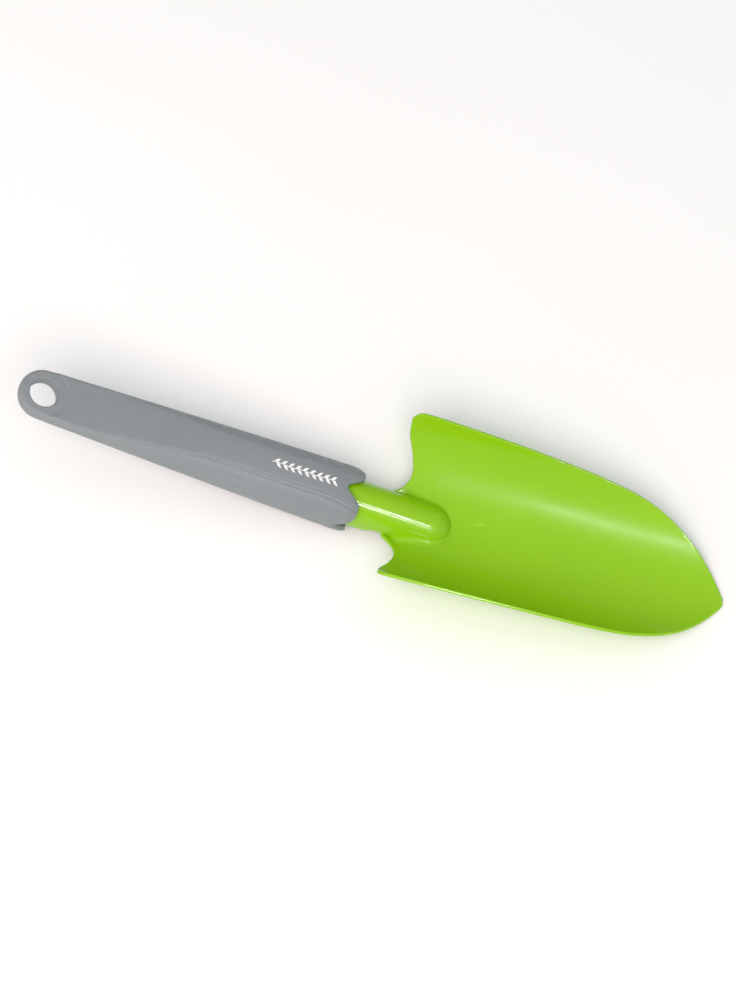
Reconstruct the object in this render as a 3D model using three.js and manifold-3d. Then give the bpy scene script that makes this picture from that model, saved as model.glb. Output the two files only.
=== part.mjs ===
// Hand trowel: one pressed and painted sheet-steel head in one hollow moulded plastic handle,
// held by one screw from below. Millimetres, +Z up, +X towards the blade's point.
// The head is drawn on a level blade line with its point at x = 0, and s is the distance behind
// that point. The handle and the screw are drawn on the handle's own axis, and h is the distance
// behind the mouth's finger tips. The finished group is turned onto its resting pose, and its
// origin is the centre of its bounding box's bottom.
import * as THREE from "three";
import { mergeVertices } from "three/addons/utils/BufferGeometryUtils.js";
import Module from "manifold-3d";

// Overall
const HANDLE_PITCH = THREE.MathUtils.degToRad(9.6); // the handle rises to the rear of the blade line
const REST_TILT = THREE.MathUtils.degToRad(1.9); // nose-down turn that lays blade and mouth on a bench
const GAP = 0.3; // between pieces that touch

// Head
const SHEET = 1.5; // steel thickness
const BLADE_RADIUS = 41.8; // cross-section of the dished blade
const FLOOR_FRONT = -2.3; // floor height at the point
const FLOOR_REAR = -0.95; // floor height at the rear
const FLOOR_RISE = [25, 115]; // s between which the floor rises
const REAR_DROP = 2; // how far the blade's middle sinks from there to the neck's lower edge
const DROP_ACROSS = [8, 38]; // distance from the middle over which that sinking ends
const NECK_START = 155.4; // s where the neck's centre line crosses z = 0
const NECK_RADIUS = 9.8; // outside of the gutter and of its round front end
const FILLET = 3; // between that end and the blade
const DOME_CENTRE = 132; // s of the round front end's centre
const NECK_JOIN = 151.6; // s where the rear edge meets the neck
const NECK_CHANGE = [141, 151]; // s between which the filleted ridge becomes the bare gutter
const WING_BLEND = 7; // width outside the ridge over which the blade eases onto its foot
const TANG_END = 226; // s of the tang's rear end
const TANG_TAPER_START = 168;
const TANG_END_RADIUS = 5.4;

// Handle
const MOUTH = 166.3; // s of the finger tips on the handle's axis
const EYE_CENTRE = 143.8; // h of the hang hole
const EYE_RADIUS = 10.8;
const EYE_HALF_THICKNESS = 3.5;
const HOLE_RADIUS = 6.3;
const EYE_EDGE = 1.2; // its eased edges
const RECESS_RADIUS = 11.2; // the eye's top lies lower than the grip's, up to this distance
const RECESS_DEPTH = 0.4;
const WALL = 2.3;
const CAVITY_DEPTH = 112;
const NOTCH_START = 6; // distance from the axis where a notch starts, inside the wall
const NOTCH_REACH = 12; // from there outwards, past the grip's surface

// Screw
const SCREW_H = 40;
const SCREW_HEAD_RADIUS = 3.5;
const SCREW_HEAD_HEIGHT = 2.2;
const SHANK_RADIUS = 1.6;
const SCREW_RECESS_RADIUS = SCREW_HEAD_RADIUS + 2 * GAP;
const SCREW_HOLE_RADIUS = SHANK_RADIUS + GAP;
const SCREW_TIP = 1.2; // beyond the gutter's crown
const SEAT_LEVEL = -9.1; // bottom of the head's recess, measured from the handle's axis
const BOSS_RADIUS = 6.4;
const BOSS_SHOULDER = -6;
const POST_RADIUS = 3.5; // the boss's upper part, inside the gutter
const POST_DROP = 1.5; // its top below the gutter's crown, for the gutter's curve

const CLEAR = 3; // length of a cutter beyond the surface it cuts

const wasm = await Module();
wasm.setup();

// A smooth curve through [x, value] points, level outside them.
function through(points) {
  const slope = (i) => {
    const a = points[Math.max(i - 1, 0)];
    const b = points[Math.min(i + 1, points.length - 1)];
    return (b[1] - a[1]) / (b[0] - a[0]);
  };
  return (x) => {
    if (x <= points[0][0]) return points[0][1];
    if (x >= points.at(-1)[0]) return points.at(-1)[1];
    const i = points.findIndex((point) => point[0] > x) - 1;
    const [x0, v0] = points[i];
    const [x1, v1] = points[i + 1];
    const t = (x - x0) / (x1 - x0);
    const bend = (x1 - x0) * (t * (1 - t) * (1 - t) * slope(i) - t * t * (1 - t) * slope(i + 1));
    return THREE.MathUtils.lerp(v0, v1, t * t * (3 - 2 * t)) + bend;
  };
}

const { lerp, smootherstep } = THREE.MathUtils;

// ---- solids ----

function geometryOf(vertices, triangles) {
  const geometry = new THREE.BufferGeometry();
  geometry.setAttribute("position", new THREE.Float32BufferAttribute(vertices, 3));
  geometry.setIndex(triangles);
  return geometry;
}

function solid(geometry) {
  const bare = geometry.clone();
  bare.deleteAttribute("normal");
  bare.deleteAttribute("uv");
  const merged = mergeVertices(bare, 1e-4);
  const vertProperties = new Float32Array(merged.attributes.position.array);
  const triVerts = new Uint32Array(merged.index.array);
  return new wasm.Manifold(new wasm.Mesh({ numProp: 3, vertProperties, triVerts }));
}

function geometryFrom(manifold) {
  const mesh = manifold.getMesh();
  return geometryOf(mesh.vertProperties, Array.from(mesh.triVerts));
}

// A cylinder that stands across the handle, between two levels above its axis.
function postGeometry(radius, h, low, high, segments = 24) {
  const geometry = new THREE.CylinderGeometry(radius, radius, high - low, segments);
  geometry.rotateX(Math.PI / 2);
  geometry.translate(-h, 0, (low + high) / 2);
  return geometry;
}

function post(radius, h, low, high, segments) {
  return solid(postGeometry(radius, h, low, high, segments));
}

// A solid of revolution that stands across the handle, from [radius, level] points.
function turned(profile, h, segments) {
  const geometry = new THREE.LatheGeometry(profile.map(([x, y]) => new THREE.Vector2(x, y)), segments);
  geometry.rotateX(Math.PI / 2);
  geometry.translate(-h, 0, 0);
  return solid(geometry);
}

// ---- head ----

const neckLine = (s) => (s - NECK_START) * Math.tan(HANDLE_PITCH);
const gutterRadius = (s) => {
  const t = Math.max(0, (s - TANG_TAPER_START) / (TANG_END - TANG_TAPER_START));
  return lerp(NECK_RADIUS, TANG_END_RADIUS, t);
};

// Gutter sides below the centre line, by s; the waist at the blade's rear has next to none.
const skirtDepth = through([
  [151, 1],
  [155.2, 0.65],
  [157.8, 2.3],
  [160, 3.6],
  [163.5, 4.2],
]);

// The dished blade, without the ridge.
const bladeFloor = (s) => lerp(FLOOR_FRONT, FLOOR_REAR, smootherstep(s, ...FLOOR_RISE));
const rearDrop = (s) => REAR_DROP * smootherstep(s, DOME_CENTRE, NECK_CHANGE[1]);
function bladeLevel(s, y) {
  const sink = rearDrop(s) * (1 - smootherstep(y, ...DROP_ACROSS));
  return bladeFloor(s) - sink + BLADE_RADIUS - Math.sqrt(BLADE_RADIUS ** 2 - y * y);
}

// Half section of the round ridge and its fillet onto a dished floor, by share of its length:
// distance across, level, and how far round the fillet the point lies.
function domePoint(share, centre, floor, radius) {
  const reach = NECK_RADIUS + FILLET;
  const top = floor + radius;
  const squares = reach ** 2 - (radius - FILLET) ** 2 + top ** 2 - centre ** 2;
  const filletLevel = squares / (2 * (top - centre));
  const filletAcross = Math.sqrt(reach ** 2 - (filletLevel - centre) ** 2);
  const steepest = Math.atan2(filletAcross, filletLevel - centre);
  const turn = steepest + Math.atan2(filletAcross, top - filletLevel);
  const arc = NECK_RADIUS * steepest;
  const length = (arc + FILLET * turn) * share;
  if (length <= arc) {
    const angle = length / NECK_RADIUS;
    const level = centre + NECK_RADIUS * Math.cos(angle);
    return { across: NECK_RADIUS * Math.sin(angle), level, fillet: 0 };
  }
  const fillet = (length - arc) / (FILLET * turn);
  const bend = steepest - fillet * turn;
  const across = filletAcross - FILLET * Math.sin(bend);
  return { across, level: filletLevel - FILLET * Math.cos(bend), fillet };
}

// Half section of the gutter: a half round with straight sides.
function gutterPoint(share, s) {
  const radius = gutterRadius(s);
  const arc = (radius * Math.PI) / 2;
  const length = (arc + (skirtDepth(s) * radius) / NECK_RADIUS) * share;
  const angle = Math.min(length, arc) / radius;
  const side = Math.max(0, length - arc);
  return { across: radius * Math.sin(angle), level: neckLine(s) + radius * Math.cos(angle) - side };
}

// A point [s, y, z] of the neck, by s and by share of its half section.
function neckPoint(s, share) {
  const dome = domePoint(share, neckLine(s), bladeFloor(s) - rearDrop(s), BLADE_RADIUS);
  const gutter = gutterPoint(share, s);
  const change = smootherstep(s, ...NECK_CHANGE);
  return [s, lerp(dome.across, gutter.across, change), lerp(dome.level, gutter.level, change)];
}

// A point of the neck's round front end, straight ahead of its centre for ahead = 1, across it for 0.
function endPoint(share, ahead, aside) {
  const section = BLADE_RADIUS / Math.max(aside ** 2, 1e-3);
  const dome = domePoint(share, neckLine(DOME_CENTRE), FLOOR_REAR, section);
  const s = DOME_CENTRE - dome.across * ahead;
  const slope = neckLine(s) - neckLine(DOME_CENTRE);
  return [s, dome.across * aside, dome.level + slope * (1 - smootherstep(dome.fillet, 0, 1))];
}

// A point of the blade outside the ridge, eased onto the ridge's foot.
function wingPoint(s, y, foot) {
  const gap = foot[2] - bladeLevel(foot[0], foot[1]);
  const away = Math.hypot(s - foot[0], y - foot[1]);
  return [s, y, bladeLevel(s, y) + gap * (1 - smootherstep(away, 0, WING_BLEND))];
}

// Half outline of the blade in plan: side edge from point to lobe, and the rear edge with the crotch.
const sideEdge = new THREE.SplineCurve([
  new THREE.Vector2(0, 0),
  new THREE.Vector2(1, 3.1),
  new THREE.Vector2(8.5, 12.5),
  new THREE.Vector2(18, 20.8),
  new THREE.Vector2(30.4, 27.5),
  new THREE.Vector2(45, 32),
  new THREE.Vector2(66, 34.7),
  new THREE.Vector2(100, 36.9),
  new THREE.Vector2(DOME_CENTRE, 38.2),
]);
const lobeEdge = new THREE.SplineCurve([
  new THREE.Vector2(DOME_CENTRE, 38.2),
  new THREE.Vector2(144.6, 38.5),
  new THREE.Vector2(148.6, 38.2),
  new THREE.Vector2(151.6, 36.7),
]);
const rearEdge = new THREE.SplineCurve([
  new THREE.Vector2(NECK_JOIN, NECK_RADIUS),
  new THREE.Vector2(149.4, 11.9),
  new THREE.Vector2(146.2, 15.6),
  new THREE.Vector2(145.2, 20),
  new THREE.Vector2(147.2, 26),
  new THREE.Vector2(150.6, 31.8),
  new THREE.Vector2(151.6, 36.7),
]);

const RIDGE_COLUMNS = 8; // per side, from the centre line to the ridge's foot
const WING_COLUMNS = 7; // per side, from there to the edge
const FAN_ROWS = 24; // from straight ahead of the round front end to straight across it
const REAR_ROWS = 8; // from there to the rear edge
const TANG_ROWS = 10;

// A point [s, y, z] of one half's upper face, by row and by column counted from the centre line.
function halfPoint(row, column) {
  const share = Math.min(column / RIDGE_COLUMNS, 1);
  const wing = Math.max(0, (column - RIDGE_COLUMNS) / WING_COLUMNS);
  if (row <= FAN_ROWS) {
    const edge = sideEdge.getPoint(row / FAN_ROWS);
    const away = new THREE.Vector2(DOME_CENTRE - edge.x, edge.y);
    const { x: ahead, y: aside } = away.clone().normalize();
    const end = endPoint(share, ahead, aside);
    if (wing === 0) return end;
    const out = lerp(Math.hypot(DOME_CENTRE - end[0], end[1]), away.length(), wing);
    return wingPoint(DOME_CENTRE - out * ahead, out * aside, end);
  }
  const rearRow = Math.min((row - FAN_ROWS) / REAR_ROWS, 1);
  const tangRow = Math.max(0, row - FAN_ROWS - REAR_ROWS) / TANG_ROWS;
  const s = tangRow > 0 ? lerp(NECK_JOIN, TANG_END, tangRow) : lerp(DOME_CENTRE, NECK_JOIN, rearRow);
  const foot = neckPoint(s, share);
  if (wing === 0) return foot;
  // A patch between the ridge's foot, the side edge and the rear edge.
  const rear = rearEdge.getPoint(wing);
  const side = lobeEdge.getPoint(rearRow);
  const corner = lobeEdge.getPoint(1);
  const liftS = rear.x - lerp(NECK_JOIN, corner.x, wing);
  const liftY = rear.y - lerp(NECK_RADIUS, corner.y, wing);
  const wingS = lerp(s, side.x, wing) + rearRow * liftS;
  const wingY = lerp(foot[1], side.y, wing) + rearRow * liftY;
  return wingPoint(wingS, wingY, foot);
}

function surfacePoint(row, column) {
  const [s, y, z] = halfPoint(row, Math.abs(column));
  return new THREE.Vector3(-s, Math.sign(column) * y, z);
}

// One sheet: the upper face, the same face moved down along its normals, and the edge between them.
// The first row is the centre line ahead of the round end, which both halves share.
function headGeometry() {
  const widest = RIDGE_COLUMNS + WING_COLUMNS;
  const lastBladeRow = FAN_ROWS + REAR_ROWS;
  const rows = lastBladeRow + TANG_ROWS;
  const points = [];
  const ids = new Map();
  const reach = (row) => (row <= lastBladeRow ? widest : RIDGE_COLUMNS);
  const keyOf = (row, column) => {
    if (column === 0 && row <= FAN_ROWS) return "0,0";
    return row === 0 ? `0,${Math.abs(column)}` : `${row},${column}`;
  };
  const idOf = (row, column) => ids.get(keyOf(row, column));
  for (let row = 0; row <= rows; row++) {
    for (let column = -reach(row); column <= reach(row); column++) {
      if (ids.has(keyOf(row, column))) continue;
      ids.set(keyOf(row, column), points.length);
      points.push(row === 0 ? surfacePoint(0, Math.abs(column)) : surfacePoint(row, column));
    }
  }
  const upper = [];
  const face = (a, b, c) => {
    if (a !== b && b !== c && c !== a) upper.push([a, b, c]);
  };
  for (let row = 0; row < rows; row++) {
    const wide = reach(row + 1);
    for (let column = -wide; column < wide; column++) {
      const a = idOf(row, column);
      const b = idOf(row, column + 1);
      const c = idOf(row + 1, column + 1);
      const d = idOf(row + 1, column);
      face(a, b, c);
      face(a, c, d);
    }
  }
  const normals = points.map(() => new THREE.Vector3());
  for (const [a, b, c] of upper) {
    const ab = points[b].clone().sub(points[a]);
    const ac = points[c].clone().sub(points[a]);
    const normal = ab.cross(ac);
    for (const id of [a, b, c]) normals[id].add(normal);
  }
  const count = points.length;
  const lower = points.map((point, id) => point.clone().addScaledVector(normals[id].normalize(), -SHEET));
  const edges = new Map();
  for (const [a, b, c] of upper) {
    for (const [from, to] of [[a, b], [b, c], [c, a]]) {
      if (edges.has(`${to},${from}`)) edges.delete(`${to},${from}`);
      else edges.set(`${from},${to}`, [from, to]);
    }
  }
  const triangles = [];
  for (const [a, b, c] of upper) triangles.push(a, b, c, c + count, b + count, a + count);
  for (const [from, to] of edges.values()) {
    triangles.push(to, from, from + count, to, from + count, to + count);
  }
  const vertices = [...points, ...lower].flatMap((point) => point.toArray());
  return geometryOf(vertices, triangles);
}

// Places a solid that is drawn on the handle's axis in the head's frame.
const handleFrame = new THREE.Matrix4()
  .makeTranslation(-MOUTH, 0, neckLine(MOUTH))
  .multiply(new THREE.Matrix4().makeRotationY(HANDLE_PITCH));

function buildHead() {
  const hole = postGeometry(SCREW_HOLE_RADIUS, SCREW_H, SEAT_LEVEL, NECK_RADIUS + CLEAR);
  hole.applyMatrix4(handleFrame);
  return geometryFrom(solid(headGeometry()).subtract(solid(hole)));
}

// ---- handle ----

// Half-width and half-height of the grip along h.
const gripWidth = through([
  [0, 13.05],
  [4, 14.2],
  [11, 14.2],
  [38, 13.7],
  [74, 12.75],
  [118, 11.5],
  [138, 11.1],
]);
const gripHeight = through([
  [0, 11],
  [4, 12.2],
  [11, 12.9],
  [28, 12.5],
  [60, 11.4],
  [78, 10],
  [98, 7.3],
  [116, 4.8],
  [131, EYE_HALF_THICKNESS - 0.1],
]);

const FLAT_STEPS = 2;
const ARC_STEPS = 10;

// A round section with a flat top and bottom.
function gripSection(width, height) {
  const corner = Math.acos(height / width);
  const flat = width * Math.sin(corner);
  const points = [];
  for (const turn of [1, -1]) {
    for (let i = 0; i < FLAT_STEPS; i++) {
      points.push([turn * lerp(-flat, flat, i / FLAT_STEPS), turn * height]);
    }
    for (let i = 0; i < ARC_STEPS; i++) {
      const angle = lerp(corner, Math.PI - corner, i / ARC_STEPS);
      points.push([turn * width * Math.sin(angle), turn * width * Math.cos(angle)]);
    }
  }
  return points;
}

// A solid through sections at the given distances behind the mouth.
function loft(stations, sectionAt) {
  const vertices = [];
  const triangles = [];
  const sections = stations.map(sectionAt);
  const count = sections[0].length;
  sections.forEach((section, i) => {
    for (const [y, z] of section) vertices.push(-stations[i], y, z);
  });
  for (let i = 0; i + 1 < stations.length; i++) {
    for (let j = 0; j < count; j++) {
      const a = i * count + j;
      const b = i * count + ((j + 1) % count);
      triangles.push(a, b, a + count, b, b + count, a + count);
    }
  }
  const last = (stations.length - 1) * count;
  for (let j = 1; j + 1 < count; j++) {
    triangles.push(0, j + 1, j);
    triangles.push(last, last + j, last + j + 1);
  }
  return solid(geometryOf(vertices, triangles));
}

// The round eye: a disc with eased edges, whose top lies lower than the grip's.
function eyeDisc() {
  const r = EYE_RADIUS;
  const low = -EYE_HALF_THICKNESS;
  const high = EYE_HALF_THICKNESS - RECESS_DEPTH;
  const corner = EYE_EDGE * 0.3;
  const profile = [
    [0, low],
    [r - EYE_EDGE, low],
    [r - corner, low + corner],
    [r, low + EYE_EDGE],
    [r, high - EYE_EDGE],
    [r - corner, high - corner],
    [r - EYE_EDGE, high],
    [0, high],
  ];
  return turned(profile, EYE_CENTRE, 40);
}

// Half-width of a notch between the mouth's fingers, by distance behind their tips.
const NOTCH_PROFILE = [
  [-1, 8.8],
  [0, 7.5],
  [0.4, 6.8],
  [1.3, 5.6],
  [2.7, 4.4],
  [4.6, 3.2],
  [6.2, 2.3],
  [7.1, 1.3],
  [7.5, 0],
];

// One of the four notches, turned about the axis.
function notch(turn) {
  const near = NOTCH_PROFILE.map(([h, width]) => new THREE.Vector2(-h, width));
  const far = NOTCH_PROFILE.slice(0, -1).map(([h, width]) => new THREE.Vector2(-h, -width));
  const shape = new THREE.Shape([...near, ...far.reverse()]);
  const geometry = new THREE.ExtrudeGeometry(shape, { depth: NOTCH_REACH, bevelEnabled: false });
  geometry.translate(0, 0, NOTCH_START);
  geometry.rotateX(turn);
  return solid(geometry);
}

const OUTER_STATIONS = [
  0, 2, 4, 7, 10, 20, 30, 41, 52, 62, 71, 80, 90, 100, 109, 118, 126, 131, EYE_CENTRE,
];
const INNER_STATIONS = [-1, 7, 20, 41, 62, 80, 95, CAVITY_DEPTH];

function gripShell() {
  const outer = loft(OUTER_STATIONS, (h) => gripSection(gripWidth(h), gripHeight(h)));
  const cavity = loft(INNER_STATIONS, (h) => gripSection(gripWidth(h) - WALL, gripHeight(h) - WALL));
  const top = EYE_HALF_THICKNESS - RECESS_DEPTH;
  const recess = post(RECESS_RADIUS, EYE_CENTRE, top, top + CLEAR, 48);
  return outer.add(eyeDisc()).subtract(recess).subtract(cavity);
}

function buildHandle() {
  const crown = gutterRadius(MOUTH + SCREW_H + POST_RADIUS) - SHEET - GAP;
  const floor = -gripHeight(SCREW_H);
  const added = [
    post(BOSS_RADIUS, SCREW_H, floor + WALL / 2, BOSS_SHOULDER),
    post(POST_RADIUS, SCREW_H, BOSS_SHOULDER - WALL / 2, crown - POST_DROP),
  ];
  const removed = [
    post(SCREW_RECESS_RADIUS, SCREW_H, floor - CLEAR, SEAT_LEVEL, 32),
    post(SCREW_HOLE_RADIUS, SCREW_H, SEAT_LEVEL - WALL / 2, crown + CLEAR),
    post(HOLE_RADIUS, EYE_CENTRE, -EYE_HALF_THICKNESS - CLEAR, EYE_HALF_THICKNESS + CLEAR, 40),
    ...[0, 1, 2, 3].map((quarter) => notch((quarter * Math.PI) / 2)),
  ];
  const body = added.reduce((whole, part) => whole.add(part), gripShell());
  return geometryFrom(removed.reduce((whole, part) => whole.subtract(part), body));
}

// ---- screw ----

function buildScrew() {
  const base = SEAT_LEVEL - GAP - SCREW_HEAD_HEIGHT;
  const tip = gutterRadius(MOUTH + SCREW_H) + SCREW_TIP;
  const r = SCREW_HEAD_RADIUS;
  const profile = [
    [0, base],
    [r * 0.6, base + 0.15],
    [r, base + 1],
    [r, base + SCREW_HEAD_HEIGHT],
    [SHANK_RADIUS, base + SCREW_HEAD_HEIGHT],
    [SHANK_RADIUS, tip - 1.5],
    [0, tip],
  ];
  return geometryFrom(turned(profile, SCREW_H, 24));
}

// ---- assembly ----

const paint = new THREE.MeshStandardMaterial({ color: 0x92cb26, roughness: 0.28, metalness: 0 });
const plastic = new THREE.MeshStandardMaterial({ color: 0x848b8f, roughness: 0.55, metalness: 0 });
const zinc = new THREE.MeshStandardMaterial({ color: 0xb8bcc0, roughness: 0.35, metalness: 1 });

function named(name, geometry, material) {
  const mesh = new THREE.Mesh(geometry, material);
  mesh.name = name;
  return mesh;
}

const grip = new THREE.Group();
grip.add(named("handle", buildHandle(), plastic), named("retaining_screw", buildScrew(), zinc));
grip.applyMatrix4(handleFrame);

const tool = new THREE.Group();
tool.add(named("head", buildHead(), paint), grip);
tool.rotation.y = REST_TILT;

const trowel = new THREE.Group();
trowel.add(tool);
trowel.updateMatrixWorld(true);
const box = new THREE.Box3().setFromObject(trowel, true);
const centre = box.getCenter(new THREE.Vector3());
tool.position.set(-centre.x, -centre.y, -box.min.z);

export default trowel;
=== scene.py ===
"""Hand trowel: a glossy green painted steel head in a matt grey moulded grip, with its hidden screw.

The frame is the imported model, in metres. The shapes are worked out here in millimetres in the tool's own
frame, where s is the distance behind the blade's point and h the distance behind the grip's mouth, and
then turned and moved onto the CAD parts.
"""

import math

import bmesh
import bpy
import numpy as np
from mathutils import Matrix, Vector


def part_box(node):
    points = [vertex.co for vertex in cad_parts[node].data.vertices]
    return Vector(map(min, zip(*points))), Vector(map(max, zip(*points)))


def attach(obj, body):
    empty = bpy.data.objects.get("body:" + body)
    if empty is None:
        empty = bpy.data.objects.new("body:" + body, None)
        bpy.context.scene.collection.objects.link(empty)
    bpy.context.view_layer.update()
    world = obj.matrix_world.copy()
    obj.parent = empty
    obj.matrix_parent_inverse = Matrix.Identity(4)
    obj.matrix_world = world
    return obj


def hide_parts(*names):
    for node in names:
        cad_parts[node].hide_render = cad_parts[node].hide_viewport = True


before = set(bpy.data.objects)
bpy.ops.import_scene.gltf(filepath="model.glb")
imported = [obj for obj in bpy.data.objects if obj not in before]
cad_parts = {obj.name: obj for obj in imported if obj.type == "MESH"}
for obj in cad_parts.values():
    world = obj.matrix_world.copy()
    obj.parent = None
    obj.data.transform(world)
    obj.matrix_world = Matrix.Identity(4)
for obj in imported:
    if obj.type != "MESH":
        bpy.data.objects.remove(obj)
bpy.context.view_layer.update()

MM = 0.001
TINY = 1e-12
SAME_PLACE = 2e-7  # metres within which mesh points are one
SLIVER = 2e-6  # metres below which a boolean's leftovers have no size

# Overall, as the CAD parts stand
HANDLE_PITCH = math.radians(9.6)
REST_TILT = math.radians(1.9)

# Head
SHEET = 1.5
BLADE_RADIUS = 41.8
FLOOR_FRONT = -2.3
FLOOR_REAR = -0.95
FLOOR_RISE = (25, 115)  # s between which the blade's floor rises
REAR_DROP = 2.0  # how far the blade's middle sinks from there to the neck's lower edge
DROP_ACROSS = (8, 38)  # distance from the middle over which that sinking ends
NECK_START = 155.4
NECK_RADIUS = 9.8
FILLET = 3.0  # between the round ridge and the blade
LEAST_CURVE = 1e-3  # share of the blade's curvature that is kept straight ahead of the ridge
DOME_CENTRE = 132.0  # s of the ridge's round front end
NECK_JOIN = 151.6  # s where the rear edge meets the neck
NECK_CHANGE = (141, 151)  # s between which the filleted ridge becomes the bare gutter
WING_BLEND = 7.0  # width outside the ridge over which the blade eases onto its foot
TANG_END = 226.0
TANG_TAPER_START = 168.0
TANG_END_RADIUS = 5.4
EDGE_ROUND = 0.5  # rounding of the painted sheet's edges
HEAD_SHARP = math.radians(40)  # angle above which an edge is shaded sharp

# Handle
MOUTH = 166.3
EYE_CENTRE = 143.8
EYE_RADIUS = 10.8
EYE_HALF_THICKNESS = 3.5
HOLE_RADIUS = 6.3
RECESS_RADIUS = 11.2
RECESS_DEPTH = 0.4
WALL = 2.3
CAVITY_DEPTH = 112.0
LIP_ROUND = 0.55
CROWN_DEPTH = 22.0  # h behind which sections are plain
GRIP_SHARP = math.radians(32)

# Screw
SCREW_H = 40.0
SCREW_HEAD_RADIUS = 3.5
SCREW_HEAD_HEIGHT = 2.2
SHANK_RADIUS = 1.6
SEAT_LEVEL = -9.1
SCREW_GAP = 0.3
BOSS_RADIUS = 6.4
BOSS_SHOULDER = -6.0
POST_RADIUS = 3.5
POST_DROP = 1.5
HEAD_HOLE_TOP = 13.0
POST_HOLE_TOP = 9.0


# ---- numbers ----


def mix(a, b, t):
    return a + (b - a) * t


def ease(x, low, high):
    """0 below low, 1 above high, smooth to the second derivative between them."""
    t = np.clip((x - low) / (high - low), 0, 1)
    return t * t * t * (t * (6 * t - 15) + 10)


def through(points):
    """A smooth curve through (x, value) points, level outside them."""
    xs, vs = np.array(points, float).T
    last = len(xs) - 1
    before = np.maximum(np.arange(len(xs)) - 1, 0)
    after = np.minimum(np.arange(len(xs)) + 1, last)
    slopes = (vs[after] - vs[before]) / (xs[after] - xs[before])

    def at(x):
        x = np.clip(x, xs[0], xs[-1])
        i = np.clip(np.searchsorted(xs, x, side="right") - 1, 0, last - 1)
        step = xs[i + 1] - xs[i]
        t = (x - xs[i]) / step
        bend = step * (t * (1 - t) ** 2 * slopes[i] - t * t * (1 - t) * slopes[i + 1])
        return mix(vs[i], vs[i + 1], t * t * (3 - 2 * t)) + bend

    return at


def spline(points, t):
    """Catmull-Rom curve through 2-D points at the parameters t, 0 to 1."""
    points = np.array(points, float)
    last = len(points) - 1
    place = np.clip(np.asarray(t, float), 0, 1) * last
    i = np.minimum(place.astype(int), last - 1)
    w = (place - i)[..., None]
    p0, p1 = points[np.maximum(i - 1, 0)], points[i]
    p2, p3 = points[i + 1], points[np.minimum(i + 2, last)]
    v0, v1 = (p2 - p0) / 2, (p3 - p1) / 2
    cubic = 2 * p1 - 2 * p2 + v0 + v1
    square = 3 * p2 - 3 * p1 - 2 * v0 - v1
    return cubic * w**3 + square * w**2 + v0 * w + p1


def unit(vectors):
    return vectors / np.maximum(np.linalg.norm(vectors, axis=-1, keepdims=True), TINY)


# ---- placing ----


def turned(points, angle):
    """Points turned about the Y axis, nose down for a positive angle."""
    x, y, z = points.T
    c, s = math.cos(angle), math.sin(angle)
    return np.stack([x * c + z * s, y, z * c - x * s], axis=1)


def neck_line(s):
    """Level of the axis of the neck's half round."""
    return (s - NECK_START) * math.tan(HANDLE_PITCH)


def place_tool():
    """Where the blade line's origin lies, from the head's lowest and foremost points in the frame."""
    low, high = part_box("head")
    floor = FLOOR_FRONT - SHEET
    foremost = math.sin(REST_TILT) * FLOOR_FRONT
    lowest = math.cos(REST_TILT) * floor
    return np.array([high.x / MM - foremost, 0, low.z / MM - lowest])


ORIGIN = place_tool()


def tool_to_row(points):
    """Tool-frame millimetres to row-frame metres."""
    return (turned(points, REST_TILT) + ORIGIN) * MM


def handle_to_row(points):
    """Handle-frame millimetres to row-frame metres."""
    moved = turned(points, HANDLE_PITCH) + np.array([-MOUTH, 0, neck_line(MOUTH)])
    return tool_to_row(moved)


# ---- meshes ----


def mesh_object(name, points, faces, sharp=math.radians(35)):
    """A linked mesh object with merged points, outward normals and smooth shading."""
    mesh = bpy.data.meshes.new(name)
    mesh.from_pydata([tuple(p) for p in points], [], [tuple(f) for f in faces])
    piece = bpy.data.objects.new(name, mesh)
    bpy.context.scene.collection.objects.link(piece)
    bm = bmesh.new()
    bm.from_mesh(mesh)
    bmesh.ops.remove_doubles(bm, verts=bm.verts, dist=SAME_PLACE)
    bmesh.ops.recalc_face_normals(bm, faces=bm.faces)
    bm.to_mesh(mesh)
    bm.free()
    finish_shading(piece, sharp)
    return piece


def finish_shading(piece, sharp):
    piece.data.polygons.foreach_set("use_smooth", [True] * len(piece.data.polygons))
    piece.data.set_sharp_from_angle(angle=sharp)
    piece.data.update()


def grid_faces(ids):
    """Quads of a grid of vertex numbers, rows by columns."""
    quads = np.stack([ids[:-1, :-1], ids[:-1, 1:], ids[1:, 1:], ids[1:, :-1]], axis=-1)
    return quads.reshape(-1, 4).tolist()


def vertex_normals(points, faces):
    """Unit normals at the points of a mesh of quads and triangles."""
    quads = np.array([list(face) + [face[-1]] * (4 - len(face)) for face in faces])
    corner = points[quads]
    cross = np.cross(corner[:, 2] - corner[:, 0], corner[:, 3] - corner[:, 1])
    normals = np.zeros_like(points)
    for k in range(4):
        np.add.at(normals, quads[:, k], cross)
    return unit(normals)


def rim_rings(edge, normal, outward, thickness, radius, steps=4):
    """Rings of points round the edge of a sheet, from its upper face to its lower one."""
    rings = []
    for a in np.linspace(0, math.pi / 2, steps + 1)[1:]:
        rings.append(edge + outward * radius * math.sin(a) - normal * radius * (1 - math.cos(a)))
    for a in np.linspace(0, math.pi / 2, steps + 1)[:-1]:
        drop = thickness - radius + radius * math.sin(a)
        rings.append(edge + outward * radius * math.cos(a) - normal * drop)
    return rings


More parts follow.
